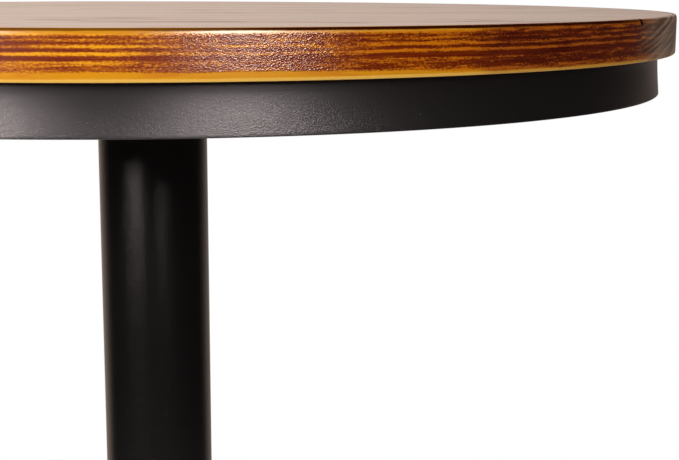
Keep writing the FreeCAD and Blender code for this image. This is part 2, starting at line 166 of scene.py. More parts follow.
def new_finish(name, fixed):
    """A material with fixed shader values, its Object coordinates, and a function that feeds its sockets."""
    material = bpy.data.materials.new(name)
    material.use_nodes = True
    nodes = material.node_tree.nodes
    shader = nodes["Principled BSDF"]
    place = Tint(nodes.new("ShaderNodeTexCoord").outputs["Object"])

    def feed(**values):
        for socket_name, value in values.items():
            place.feed(shader.inputs[socket_name.replace("_", " ")], value)

    for socket_name, value in fixed.items():
        place.feed(shader.inputs[socket_name], value)
    return material, place, feed


def dress(material, *nodes):
    """Puts a finish on pieces that keep the frame's own mesh."""
    for node in nodes:
        for material_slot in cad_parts[node].material_slots:
            material_slot.material = material


rolled_iron, place, feed = new_finish("rolled_iron", {"Metallic": 0.6, "Specular IOR Level": 0.4})
scale_patches = place.noise(iron_scale_lumps, 5).rise(0.42, 0.62)
rust_specks = place.noise(iron_rust_lumps, 4).rise(0.6, 0.72)
iron_colour = scale_patches.between(iron_scale_colour, iron_bare_colour)
mill_grain = place.noise(iron_grain_lumps, 2)
feed(
    Base_Color=(iron_rust_strength * rust_specks).between(iron_colour, iron_rust_colour),
    Roughness=0.45 + 0.25 * scale_patches,
    Normal=(mill_grain + scale_patches).relief(iron_relief),
)
dress(rolled_iron, "base_weight", "column_plug")

# Base cover: steel sheet pressed into a low cone with a turned-down rim, drawn over the weight.
# Like the rest of the steelwork it has a satin black powder coat, which leaves a fine orange peel,
# and it has light rub marks where shoes touch it.

cover_sheet = 0.0015
cover_corner_round = 0.006
cover_bend_round = 0.009
cover_lip_round = 0.0006
cover_land_width = 0.016
cover_clearance = 0.0004
cover_steps = 240
merge_distance = 1e-7
coat_colour = (0.0042, 0.0036, 0.0035)
coat_rubbed_colour = (0.03, 0.028, 0.027)
coat_gloss = {"Specular IOR Level": 0.68, "Specular Tint": (1.0, 0.87, 0.85)}
coat_satin = 0.21
coat_texture_lumps = (2200, 2200, 2200)
coat_peel_lumps = (500, 500, 500)
coat_pit_lumps = (1300, 1300, 1300)
coat_cloud_lumps = (9, 9, 9)
coat_rub_lumps = (60, 60, 420)
coat_rub_strength = 0.5
coat_relief = 0.0001
base_rub_heights = (0.05, 0.02)


def rounded(corners, closed=True, arc_steps=6):
    """An outline of (radius, height, rounding) corners, each made an arc tangent to both its sides."""
    corners = np.array(corners, float)
    here, rounding = corners[:, :2], corners[:, 2]
    before = np.roll(here, 1, 0) - here
    after = np.roll(here, -1, 0) - here
    before /= np.linalg.norm(before, axis=1)[:, None]
    after /= np.linalg.norm(after, axis=1)[:, None]
    half_angle = np.arccos(np.clip((before * after).sum(1), -1, 1)) / 2
    middle = before + after
    middle /= np.linalg.norm(middle, axis=1)[:, None]
    centre = here + middle * (rounding / np.sin(half_angle))[:, None]
    start = here + before * (rounding / np.tan(half_angle))[:, None] - centre
    end = here + after * (rounding / np.tan(half_angle))[:, None] - centre
    share = np.linspace(0, 1, arc_steps + 1)[None, :, None]
    sweep = (np.pi - 2 * half_angle)[:, None, None]
    arc = np.sin((1 - share) * sweep) * start[:, None] + np.sin(share * sweep) * end[:, None]
    arc = centre[:, None] + arc / np.sin(sweep)
    arcs = [a if r > 0 else h[None] for a, r, h in zip(arc, rounding, here)]
    if not closed:
        arcs[0], arcs[-1] = here[:1], here[-1:]
    return np.concatenate(arcs)


def turned(outline, steps):
    """A surface of revolution: each (radius, height) of an outline carried round Z in equal steps."""
    angle = np.linspace(0, 2 * np.pi, steps, endpoint=False)[:, None]
    radius, height = outline.T
    return np.stack(np.broadcast_arrays(radius * np.cos(angle), radius * np.sin(angle), height), -1)


def shell(grid, wrap_rows=True, wrap_columns=True):
    """The points and outward quads of a closed grid, joined up at its last row or column where it wraps."""
    rows, columns = grid.shape[:2]
    row = np.arange(rows if wrap_rows else rows - 1)[:, None]
    column = np.arange(columns if wrap_columns else columns - 1)[None, :]
    next_row, next_column = (row + 1) % rows, (column + 1) % columns
    corners = [(row, column), (row, next_column), (next_row, next_column), (next_row, column)]
    quads = np.stack([np.broadcast_to(r * columns + c, (row.size, column.size)) for r, c in corners], -1)
    quads = quads.reshape(-1, 4)
    points = grid.reshape(-1, 3)
    a, b, c, d = (points[quads[:, i]] - points.mean(0) for i in range(4))
    volume = (np.cross(a, b) * c).sum() + (np.cross(a, c) * d).sum()
    return points, quads if volume > 0 else quads[:, ::-1]


def joined(*shells):
    """Several shells as one."""
    counts = np.cumsum([0] + [len(points) for points, quads in shells])
    quads = [shell_quads + count for (points, shell_quads), count in zip(shells, counts)]
    return np.concatenate([points for points, shell_quads in shells]), np.concatenate(quads)


def add_piece(name, made, material, replaced, body="table", sharp_degrees=38):
    """Puts a shell into the scene as a piece: merged at its poles, smooth but for its sharp edges."""
    points, quads = made
    mesh = bpy.data.meshes.new(name)
    mesh.from_pydata(points.tolist(), [], quads.tolist())
    merged = bmesh.new()
    merged.from_mesh(mesh)
    bmesh.ops.remove_doubles(merged, verts=merged.verts, dist=merge_distance)
    merged.to_mesh(mesh)
    merged.free()
    mesh.shade_smooth()
    mesh.set_sharp_from_angle(angle=np.radians(sharp_degrees))
    mesh.materials.append(material)
    piece = bpy.data.objects.new(name, mesh)
    bpy.context.scene.collection.objects.link(piece)
    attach(piece, body)
    if replaced:
        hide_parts(*replaced)
    return piece


def black_coat(name, rub_heights, gloss=coat_gloss, satin=coat_satin, smoothing=0, smooth_heights=(0, 1)):
    """Satin black powder coat with a fine texture and orange peel. Its rub marks and its smoothing come in
    from the first of two heights to the second."""
    material, place, feed = new_finish(name, gloss)
    z = place.parts()[2]
    texture = place.noise(coat_texture_lumps, 1)
    peel = place.noise(coat_peel_lumps, 1)
    pits = place.noise(coat_pit_lumps, 1).rise(0.68, 0.76)
    clouds = place.noise(coat_cloud_lumps, 4)
    streaks = place.noise(coat_rub_lumps, 5, 0.65).rise(0.6, 0.8)
    rubbed = streaks * clouds.rise(0.4, 0.7) * z.rise(*rub_heights)
    smooth = smoothing * z.rise(*smooth_heights)
    feed(
        Base_Color=(coat_rub_strength * rubbed).between(coat_colour, coat_rubbed_colour),
        Roughness=satin * (1 - 0.1 * smooth) + 0.03 * clouds - 0.03 * rubbed,
        Normal=((1 - smooth) * (texture + 0.5 * peel - 0.3 * pits)).relief(coat_relief),
    )
    return material


base_coat = black_coat("base_coat", base_rub_heights)
cover_low, cover_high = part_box("base_cover")
cover_rim = cover_high.x
weight_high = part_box("base_weight")[1]
cover_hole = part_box("column_tube")[1].x + cover_clearance
cover_shoulder = weight_high.z + cover_sheet
cover_land = cover_hole + cover_land_width
cover_outline = rounded(
    [
        (cover_rim - cover_sheet, cover_low.z, cover_lip_round),
        (cover_rim, cover_low.z, cover_lip_round),
        (cover_rim, cover_shoulder, cover_corner_round),
        (cover_land, cover_high.z, cover_bend_round),
        (cover_hole, cover_high.z, cover_lip_round),
        (cover_hole, cover_high.z - cover_sheet, cover_lip_round),
        (cover_land, cover_high.z - cover_sheet, cover_bend_round),
        (cover_rim - cover_sheet, cover_shoulder - cover_sheet, cover_corner_round - cover_sheet),
    ],
    arc_steps=8,
)
base_cover = shell(turned(cover_outline, cover_steps))
add_piece("pressed_base_cover", base_cover, base_coat, ["base_cover"])

# Levelling feet: a moulded nylon glide that stays on the floor, and a zinc-plated stem screwed up into the
# weight. The stem's hexagon takes a spanner, and its spigot turns in the glide.

foot_pad_skirt = 0.0025
foot_pad_edge = 0.001
foot_pad_crown = 0.009
foot_pad_round = 0.0006
foot_socket_depth = 0.00305
foot_socket_radius = 0.00305
foot_steps = 72
foot_thread_pitch = 0.0015
foot_hex_height = 0.0042
foot_hex_flats = 0.015
foot_thread_radius = 0.005
foot_spigot_radius = 0.003
foot_spigot_round = 0.0003
hex_face_share = 0.95
hex_steps = 72
thread_depth_share = 0.61
nylon_colour = (0.012, 0.012, 0.013)
nylon_grain_lumps = (1500, 1500, 1500)
nylon_scuff_lumps = (240, 240, 60)
nylon_scuff_strength = 0.3
nylon_relief = 0.00005
zinc_colour = (0.62, 0.63, 0.65)
zinc_tarnish_colour = (0.4, 0.385, 0.35)
zinc_cloud_lumps = (300, 300, 300)
zinc_scratch_lumps = (2500, 2500, 300)
zinc_relief = 0.00003

moulded_nylon, place, feed = new_finish("moulded_nylon", {"Specular IOR Level": 0.45})
nylon_grain = place.noise(nylon_grain_lumps, 2)
nylon_scuff = place.noise(nylon_scuff_lumps, 4).rise(0.55, 0.75)
feed(
    Base_Color=(nylon_scuff_strength * nylon_scuff).between(nylon_colour, coat_rubbed_colour),
    Roughness=0.5 + 0.15 * nylon_scuff,
    Normal=nylon_grain.relief(nylon_relief),
)

bright_zinc, place, feed = new_finish("bright_zinc", {"Metallic": 1.0})
zinc_clouds = place.noise(zinc_cloud_lumps, 4).rise(0.4, 0.7)
zinc_scratches = place.noise(zinc_scratch_lumps, 2)
feed(
    Base_Color=zinc_clouds.between(zinc_colour, zinc_tarnish_colour),
    Roughness=0.26 + 0.18 * zinc_clouds + 0.08 * zinc_scratches,
    Normal=zinc_scratches.relief(zinc_relief),
)


def hex_block(flats, face, seat, bore=0.0):
    """A hexagon from a turned-off face to a seat: its reach is half the flats over the cosine from the
    flat's middle, and its corners fall away from the face by the tangent of 30 degrees."""
    angle = np.linspace(0, 2 * np.pi, hex_steps, endpoint=False)[:, None]
    reach = flats / 2 / np.cos(angle % (np.pi / 3) - np.pi / 6)
    face_radius = flats / 2 * hex_face_share
    away = np.sign(seat - face) * (reach - face_radius) * np.tan(np.pi / 6)
    radius = [bore, face_radius, reach, reach, bore]
    height = [face, face, face + away, seat, seat]
    rows = [[np.broadcast_to(value, angle.shape) for value in row] for row in (radius, height)]
    radius, height = (np.concatenate(row, 1) for row in rows)
    return shell(np.stack([radius * np.cos(angle), radius * np.sin(angle), height], -1), True, bore > 0)


def threaded_rod(radius, pitch, low, high, steps=40, rows_per_turn=8):
    """A rod with a helical thread: the radius rises and falls once per pitch, later by each angle's share
    of a turn. The thread runs out at both ends."""
    angle = np.linspace(0, 2 * np.pi, steps, endpoint=False)[:, None]
    height = np.linspace(low, high, int((high - low) / pitch * rows_per_turn) + 2)[None, :]
    wave = np.abs(2 * ((height / pitch - angle / (2 * np.pi)) % 1) - 1)
    depth = pitch * thread_depth_share
    ends = np.minimum(height - low, high - height)
    thread = np.minimum(radius - depth * wave, radius - depth + ends)
    thread = np.concatenate([0 * angle, thread, 0 * angle], 1)
    height = np.broadcast_to(np.concatenate([height[:, :1], height, height[:, -1:]], 1), thread.shape)
    return shell(np.stack([thread * np.cos(angle), thread * np.sin(angle), height], -1), True, False)


def moved(made, x, y, degrees=0.0):
    """A shell turned about the Z axis and then moved across the floor."""
    turn = np.array(Matrix.Rotation(np.radians(degrees), 3, "Z"))
    return made[0] @ turn.T + (x, y, 0.0), made[1]


for number in range(1, 5):
    pad_low, pad_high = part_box(f"foot_pad_{number}")
    stem_low, stem_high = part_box(f"foot_stem_{number}")
    foot_at = (pad_low + pad_high) / 2
    pad_rim = (pad_high.x - pad_low.x) / 2
    socket_floor = pad_high.z - foot_socket_depth
    pad_outline = rounded(
        [
            (0.0, pad_low.z, 0.0),
            (pad_rim - foot_pad_edge, pad_low.z, foot_pad_round),
            (pad_rim, pad_low.z + foot_pad_edge, foot_pad_round),
            (pad_rim, pad_low.z + foot_pad_skirt, foot_pad_round),
            (foot_pad_crown, pad_high.z, foot_pad_round),
            (foot_socket_radius, pad_high.z, 0.0),
            (foot_socket_radius, socket_floor, 0.0),
            (0.0, socket_floor, 0.0),
        ],
        closed=False,
    )
    pad = moved(shell(turned(pad_outline, foot_steps), True, False), foot_at.x, foot_at.y)
    add_piece(f"glide_{number}", pad, moulded_nylon, [f"foot_pad_{number}"], f"foot_{number}_pad")
    hex_top = pad_high.z + foot_hex_height
    spigot_outline = rounded(
        [
            (0.0, stem_low.z, 0.0),
            (foot_spigot_radius, stem_low.z, foot_spigot_round),
            (foot_spigot_radius, pad_high.z + foot_hex_height / 2, 0.0),
            (0.0, pad_high.z + foot_hex_height / 2, 0.0),
        ],
        closed=False,
    )
    stem = joined(
        shell(turned(spigot_outline, foot_steps), True, False),
        hex_block(foot_hex_flats, hex_top, pad_high.z),
        threaded_rod(foot_thread_radius, foot_thread_pitch, hex_top - foot_hex_height / 2, stem_high.z),
    )
    stem = moved(stem, foot_at.x, foot_at.y)
    stem_body = f"foot_{number}_stem"
    add_piece(f"stem_{number}", stem, bright_zinc, [f"foot_stem_{number}"], stem_body)

# Column: a welded round steel tube, powder coated black. Its plug is pulled down on the weight by four bolts
# from below, and a turned collar clamps the cover round it. Handling has left faint rub marks on the coat.

column_wall = 0.002
column_end_round = 0.0004
column_steps = 180
column_satin = 0.18
column_rub_heights = (1.2, 0.7)


def bar_outline(inner, outer, low, high, rounding, arc_steps=6):
    """A closed outline of a rectangle whose four corners are rounded alike."""
    corners = ((inner, low), (outer, low), (outer, high), (inner, high))
    return rounded([(*corner, rounding) for corner in corners], arc_steps=arc_steps)


column_coat = black_coat("column_coat", column_rub_heights, satin=column_satin)
column_low, column_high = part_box("column_tube")
column_radius = column_high.x
column_bore = column_radius - column_wall
column_outline = bar_outline(column_bore, column_radius, column_low.z, column_high.z, column_end_round)
column = shell(turned(column_outline, column_steps))
add_piece("round_column", column, column_coat, ["column_tube"])

collar_lip = 0.002
collar_skirt = 0.005
collar_round = 0.001
collar_bore_round = 0.0002
collar_clearance = 0.0001
collar_low, collar_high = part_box("column_collar")
collar_bore = column_radius + collar_clearance
collar_outline = rounded(
    [
        (collar_bore, collar_low.z, collar_bore_round),
        (collar_high.x, collar_low.z, collar_round / 2),
        (collar_high.x, collar_low.z + collar_skirt, collar_round),
        (collar_bore + collar_lip, collar_high.z, collar_round),
        (collar_bore, collar_high.z, collar_bore_round),
    ]
)
collar = shell(turned(collar_outline, column_steps))
add_piece("turned_collar", collar, base_coat, ["column_collar"])

# Bolts, washers and nuts: zinc-plated steel of one thread. Four bolts hold the column's plug down on the
# weight, and four hold the column's flange up against the hub plate, each with a washer under its head.

bolt_turns = (45, 135, 225, 315)
base_bolt_circle = 0.0221
flange_bolt_circle = 0.0601
bolt_radius = 0.004
bolt_pitch = 0.00125
bolt_flats = 0.013
bolt_head_height = 0.0053
washer_radius = 0.008
washer_hole = 0.0042
washer_round = 0.0003
nut_bore = 0.0041


def ring_of(made, radius, turns):
    """Copies of a shell moved out from the column's axis by a radius and turned round it by some degrees."""
    out = moved(made, radius, 0.0)
    return joined(*[moved(out, 0.0, 0.0, degrees) for degrees in turns])


for joint, bolt_circle in (("base", base_bolt_circle), ("flange", flange_bolt_circle)):
    bolt_low, bolt_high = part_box(f"{joint}_bolts")
    washer_low, washer_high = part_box(f"{joint}_washers")
    bolt = joined(
        hex_block(bolt_flats, bolt_low.z, bolt_low.z + bolt_head_height),
        threaded_rod(bolt_radius, bolt_pitch, bolt_low.z + bolt_head_height / 2, bolt_high.z),
    )
    bolts = ring_of(bolt, bolt_circle, bolt_turns)
    add_piece(f"{joint}_hex_bolts", bolts, bright_zinc, [f"{joint}_bolts"])
    washer_heights = (washer_low.z, washer_high.z)
    washer_outline = bar_outline(washer_hole, washer_radius, *washer_heights, washer_round, arc_steps=3)
    washers = ring_of(shell(turned(washer_outline, foot_steps)), bolt_circle, bolt_turns)
    add_piece(f"{joint}_flat_washers", washers, bright_zinc, [f"{joint}_washers"])

nut_low, nut_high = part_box("flange_nuts")
nuts = ring_of(hex_block(bolt_flats, nut_high.z, nut_low.z, nut_bore), flange_bolt_circle, bolt_turns)
add_piece("flange_hex_nuts", nuts, bright_zinc, ["flange_nuts"])

# Frame under the top: a flange welded on the column, a hub plate, and four arms of rectangular tube,
# welded out to the band, all coated black after welding. Small lugs inside the band take more screws.

arm_corner_round = 0.003
arm_wall = 0.002
arm_start = 0.02
arm_turns = (0, 90, 180, 270)
lug_turns = (30, 60, 120, 150, 210, 240, 300, 330)
column_weld_size = 0.0032
band_weld_size = 0.00224
lug_weld_half = 0.012
arm_weld_half = 0.013
weld_ripple_share = 0.1
weld_ripples_per_metre = 380
weld_ripple_rows = 5
weld_end_power = 8
frame_rub_heights = (2.0, 1.9)

frame_coat = black_coat("frame_coat", frame_rub_heights)
dress(frame_coat, "column_flange", "hub_plate", "band_lugs")

arm_low, arm_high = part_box("frame_arm_1")
band_inner = arm_high.x
arm_half = (arm_high.y - arm_low.y) / 2
outside = bar_outline(-arm_half, arm_half, arm_low.z, arm_high.z, arm_corner_round)
inner_half = arm_half - arm_wall
inner_low, inner_high = arm_low.z + arm_wall, arm_high.z - arm_wall
inside = bar_outline(-inner_half, inner_half, inner_low, inner_high, arm_corner_round - arm_wall)
section = np.stack([outside, outside, inside, inside])
arm_along = np.sqrt(band_inner**2 - section[:, :, 0] ** 2)
arm_along[[0, 3]] = arm_start
arm = shell(np.concatenate([arm_along[:, :, None], section], -1))
for number, degrees in enumerate(arm_turns, 1):
    turned_arm = moved(arm, 0.0, 0.0, degrees)
    add_piece(f"tube_arm_{number}", turned_arm, frame_coat, [f"frame_arm_{number}"])


def weld_bead(radius, height, start, end, size, across_steps=12):
    """A bead along an arc round the column's axis: a circle carried along it, that swells with each ripple
    and closes to a point at both ends, or a ring where the arc goes all round."""
    ring = end - start >= 2 * np.pi
    length = (end - start) * radius
    ripples = max(3, int(length * weld_ripples_per_metre))
    share = np.linspace(0, 1, ripples * weld_ripple_rows + 1)[:, None]
    swell = 1 + weld_ripple_share * np.abs(np.sin(np.pi * ripples * share))
    ends = 1.0 if ring else np.sqrt(np.clip(1 - np.abs(2 * share - 1) ** weld_end_power, 0, 1))
    bead = size * swell * ends
    share, bead = (share[:-1], bead[:-1]) if ring else (share, bead)
    around = np.linspace(0, 2 * np.pi, across_steps, endpoint=False)[None, :]
    angle = start + (end - start) * share
    reach = radius + bead * np.cos(around)
    grid = np.stack([reach * np.cos(angle), reach * np.sin(angle), height + bead * np.sin(around)], -1)
    return shell(grid, ring, True)


lug_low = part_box("band_lugs")[0]
flange_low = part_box("column_flange")[0]
welds = [weld_bead(column_radius, flange_low.z, 0.0, 2 * np.pi, column_weld_size)]
for weld_turns, weld_half, weld_level in (
    (lug_turns, lug_weld_half, lug_low.z),
    (arm_turns, arm_weld_half, arm_low.z),
):
    spread = weld_half / band_inner
    for angle in np.radians(weld_turns):
        welds.append(weld_bead(band_inner, weld_level, angle - spread, angle + spread, band_weld_size))
add_piece("frame_welds", joined(*welds), frame_coat, [])

# Apron band: flat steel bar rolled into a hoop, its edges broken, welded to the arms and powder coated.
# It stands in a little from the wooden rim, which shades its upper part, and flares out at its lower edge.
# Its coat is smoother towards the upper edge.

band_thickness = 0.003
band_flare = 0.0015
band_flare_power = 1.3
band_edge_round = 0.0006
band_steps = 480
band_row = 0.0012
band_straight = 0.2
band_outer = band_inner + band_thickness
band_low, band_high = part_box("apron_band")

band_gloss = {"IOR": 1.65, "Specular IOR Level": 1.0, "Specular Tint": (1.0, 0.86, 0.86)}
band_satin = 0.3
band_smoothing = 0.85
band_heights = (band_low.z, band_high.z)
band_coat = black_coat("band_coat", frame_rub_heights, band_gloss, band_satin, band_smoothing, band_heights)


def refined(outline, step):
    """A closed outline with points added along its long sides, no farther apart than a step."""
    side = np.roll(outline, -1, 0) - outline
    counts = np.maximum(1, np.ceil(np.linalg.norm(side, axis=1) / step)).astype(int)
    order = np.arange(counts.sum()) - np.repeat(np.cumsum(counts) - counts, counts)
    share = order / np.repeat(counts, counts)
    return np.repeat(outline, counts, 0) + np.repeat(side, counts, 0) * share[:, None]


band_outline = bar_outline(band_inner, band_outer, band_low.z, band_high.z, band_edge_round)
band_outline = refined(band_outline, band_row)
band_drop = (band_high.z - band_outline[:, 1]) / (band_high.z - band_low.z)
band_bent = np.clip((band_drop - band_straight) / (1 - band_straight), 0, 1)
band_outline[:, 0] += band_flare * band_bent**band_flare_power
band = shell(turned(band_outline, band_steps))
add_piece("rolled_band", band, band_coat, ["apron_band"])

# Wooden top: five wide pine boards, scorched, brushed so that the grain stands out, stained and lacquered.
# They are glued edge to edge and cut round. The rim's corners are eased, which sands the dark stain off down
# to yellow wood. The upper corner is burnt and also painted darker as shade, and the glue lines have opened
# a little at the rim.

rim_step = 0.0022
rim_rows = 60
row_crowding = 0.45
arris_rows = (0.02, 0.08, 0.2, 0.4)
under_rows = (0.02, 0.1, 0.25, 0.5)
face_rings = (0.0, 0.35, 0.7, 0.98, 0.9985)
arris_round = 0.0008
rim_ease = 0.0006
rim_ease_height = 0.0036
under_round = 0.0008
under_ease = 0.0002
under_ease_height = 0.003
ease_power = 2.2
seam_columns = 40
seam_round = 0.00022
seam_gap = 0.001
seam_gap_depth = 0.0034
seam_gap_length = 0.005

board_boxes = [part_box(f"top_board_{number}") for number in range(1, 6)]
rim_radius = board_boxes[2][1].x
wood_low, wood_high = board_boxes[2][0].z, board_boxes[2][1].z
wood_thickness = wood_high - wood_low


def corner_inset(distance, rounding, ease=0.0, ease_height=1.0):
    """How far a rim stands back at a distance from a face: a round corner plus a long ease that dies out."""
    distance = np.clip(distance, 0, None)
    into_round = np.clip(rounding - distance, 0, None)
    into_ease = np.clip(1 - distance / ease_height, 0, 1)
    return rounding - np.sqrt(rounding**2 - into_round**2) + ease * into_ease**ease_power


def board_shell(near, far):
    """A board between two seams, cut by the round rim. Each ring of the grid is the board's plan, set back
    by the rim's profile at that depth. The rings go from the middle of the face, over the rim, to the middle
    of the underside. Near the rim a seam's edge stands back by a gap that dies out along the seam."""
    spread = (1 - np.cos(np.linspace(0, np.pi, rim_rows))) / 2
    even = np.linspace(0, 1, rim_rows)
    depth = wood_thickness * (row_crowding * spread + (1 - row_crowding) * even)
    arris_depth = arris_round * np.array(arris_rows)
    under_depth = wood_thickness - under_round * np.array(under_rows)
    depth = np.sort(np.concatenate([depth, arris_depth, under_depth]))[:, None]
    height = wood_thickness - depth
    rim_inset = corner_inset(depth, arris_round, rim_ease, rim_ease_height)
    rim_inset = rim_inset + corner_inset(height, under_round, under_ease, under_ease_height)
    seam_inset = corner_inset(depth, seam_round) + corner_inset(height, seam_round)
    gap_inset = seam_inset + seam_gap * np.sqrt(np.clip(1 - depth / seam_gap_depth, 0, 1))
    radius = rim_radius - rim_inset
    along = (1 - np.cos(np.linspace(0, np.pi, seam_columns, endpoint=False))) / 2
    edges = []
    arc_ends = []
    for seam, inward in ((near, 1), (far, -1)):
        if abs(seam) > rim_radius - seam_gap:
            edges.append(None)
            arc_ends.append(np.full_like(radius, inward * -np.pi / 2))
            continue
        corner_y = seam + inward * gap_inset
        reach = np.sqrt(radius**2 - corner_y**2)
        x = inward * reach * (2 * along[None, :] - 1)
        opening = np.exp(-(reach - np.abs(x)) / seam_gap_length)
        y = seam + inward * (seam_inset + (gap_inset - seam_inset) * opening)
        edges.append(np.stack([x, y], -1))
        arc_ends.append(np.arcsin(corner_y / radius))
    sweep = arc_ends[1] - arc_ends[0]
    share = np.linspace(0, 1, int(sweep.max() * rim_radius / rim_step), endpoint=False)[None, :]
    arc_angles = (arc_ends[0] + sweep * share, np.pi - arc_ends[1] + sweep * share)
    right, left = (np.stack([radius * np.cos(angle), radius * np.sin(angle)], -1) for angle in arc_angles)
    plan = np.concatenate([part for part in (edges[0], right, edges[1], left) if part is not None], 1)
    level = np.broadcast_to(wood_high - depth, plan.shape[:2])[:, :, None]
    rings = np.concatenate([plan, level], -1)
    fills = []
    for ring in (rings[0], rings[-1]):
        middle = np.array((0.0, (near + far) / 2, ring[0, 2]))
        fills.append(middle + np.array(face_rings)[:, None, None] * (ring - middle))
    return shell(np.concatenate([fills[0], rings, fills[1][::-1]]), False, True)


# Colours of early and late growth, with little stain and soaked with it, and of wood that is burnt, sanded
# or cut.
# The burnt colour is also painted shade at the upper corner, and the pale colour at the lower corner is
# partly a painted reflection. Then the stain's strength on the faces and towards the ends, and the lacquer.
early_colour = (0.82, 0.35, 0.004)
early_stained_colour = (0.57, 0.15, 0.002)
early_soaked_colour = (0.4, 0.09, 0.004)
middle_colour = (0.46, 0.11, 0.002)
middle_soaked_colour = (0.16, 0.025, 0.002)
late_colour = (0.15, 0.011, 0.0004)
late_pale_colour = (0.3, 0.05, 0.002)
late_soaked_colour = (0.054, 0.003, 0.0004)
late_soaked_pale_colour = (0.135, 0.014, 0.001)
# Also used as painted shade along the rim's upper corner.
burnt_and_shade_colour = (0.03, 0.0045, 0.001)
sanded_colour = (0.63, 0.248, 0.0006)
sanded_deep_colour = (0.56, 0.175, 0.0008)
sanded_soaked_colour = (0.42, 0.12, 0.003)
# The pale colour at the lower corner is partly bare wood and partly a painted reflection.
pale_wood_and_sheen_colour = (0.76, 0.42, 0.06)
end_grain_colour = (0.055, 0.026, 0.013)
end_scratch_colour = (0.3, 0.2, 0.13)
face_stain = 0.7
end_stain = 0.32
lacquer = {
    "IOR": 1.6,
    "Specular IOR Level": 1.0,
    "Specular Tint": (1.0, 0.88, 0.78),
    "Coat Roughness": 0.13,
    "Coat IOR": 1.45,
}

# Patterns in the wood: lumps to the metre along the grain, across the board and up, the slant of the end
# grain's scratches, and how far the patterns shift from board to board.
patch_lumps = (20, 50, 130)
sway_lumps = (5, 9, 9)
ripple_lumps = (28, 60, 60)
drift_lumps = (2.2, 7, 7)
fade_lumps = (15, 40, 240)
speck_lumps = (700, 780, 1400)
fibre_lumps = (45, 110, 1000)
sparkle_lumps = (1040, 1040, 1650)
tone_lumps = (26, 60, 900)
sanded_lumps = (30, 60, 260)
strip_lumps = (34, 34, 5)
burnt_lumps = (45, 45, 5)
streak_lumps = (3, 45, 45)
scorch_lumps = (14, 20, 20)
end_scratch_lumps = (420, 14)
end_scratch_slant = (0.97, 0.23)
board_shift = (1.7, 0.9, 0.4)

# Growth rings: how dark they are at each share of a board's thickness, and how far they wave and drift. For
# each board, their curve, tilt and lift at the rim, then the pith's depth under the face and its offset.
latewood_stops = (
    (0.0, 0.1), (0.09, 0.12), (0.13, 0.52), (0.16, 0.66), (0.195, 0.3),
    (0.215, 0.34), (0.257, 0.76), (0.295, 0.25), (0.325, 0.08), (0.365, 0.65),
    (0.4, 0.7), (0.435, 0.0), (0.465, 0.08), (0.51, 0.88), (0.545, 0.95),
    (0.6, 0.34), (0.73, 0.62), (0.77, 0.56), (0.83, 0.15), (1.0, 0.1),
)
ring_sway = 0.0016
ring_ripple = 0.001
pith_slope = 0.04
pith_drift = 0.04
board_rings = (
    (0.0, 0.0, 0.0006, 0.03, 0.03),
    (0.5, 0.03, 0.0002, 0.055, -0.025),
    (1.6, -0.12, 0.004, 0.035, 0.012),
    (3.2, 0.1, 0.009, 0.07, 0.06),
    (2.0, -0.06, 0.002, 0.04, -0.03),
)

# Depths and widths. A pair is the two ends of a soft edge.
rim_skin = (0.004, 0.0012)
upper_strip_depth = (0.0019, 0.0031)
upper_strip_thinning = 0.0011
lower_strip_height = (0.0041, 0.0051)
lower_strip_thinning = 0.0019
soaked_strip_thinning = 0.0006
pale_edge_height = (0.0012, 0.0021)
strip_wander = 0.0016
strip_speckle = 0.0011
burnt_skin = (0.003, 0.0022)
burnt_depth_left = 0.0011
burnt_depth_growth = 0.0003
burnt_wander = 0.0007
burnt_edge = (-0.0001, 0.0006)
burnt_start = (0.00004, 0.0002)
glue_skin = (0.009, 0.004)
glue_edge = (0.0003, 0.0006)
glue_depth = (0.0028, 0.0038)
wood_relief = 0.00023

# Places along the grain where a look comes in or goes: shares of the way to the top's end, then places on X.
stain_shares = (0.14, 0.3)
soak_shares = (0.42, 0.48)
end_grain_shares = (0.74, 0.84)
upper_thin_shares = (0.42, 0.58)
lower_thin_shares = (0.16, 0.46)
lower_wander_shares = (0.16, 0.3)
burnt_fade_shares = (0.7, 0.84)
# Where the right lamp's glare falls on the rim. The stronger colour specks there are painted glints.
glare_zone_start = (-0.04, 0.04)
glare_zone_end = (0.07, 0.12)
soft_lines_end = (0.04, 0.1)
streaky_start = (0.05, 0.11)
sparkle_start = (-0.03, 0.08)
sparkle_end = (0.06, 0.1)
dull_brush_end = (-0.04, 0.07)
dull_strip_start = (-0.01, 0.05)
burnt_deeper = (-0.06, 0.14)
burnt_and_shade_darker = (-0.02, 0.07)


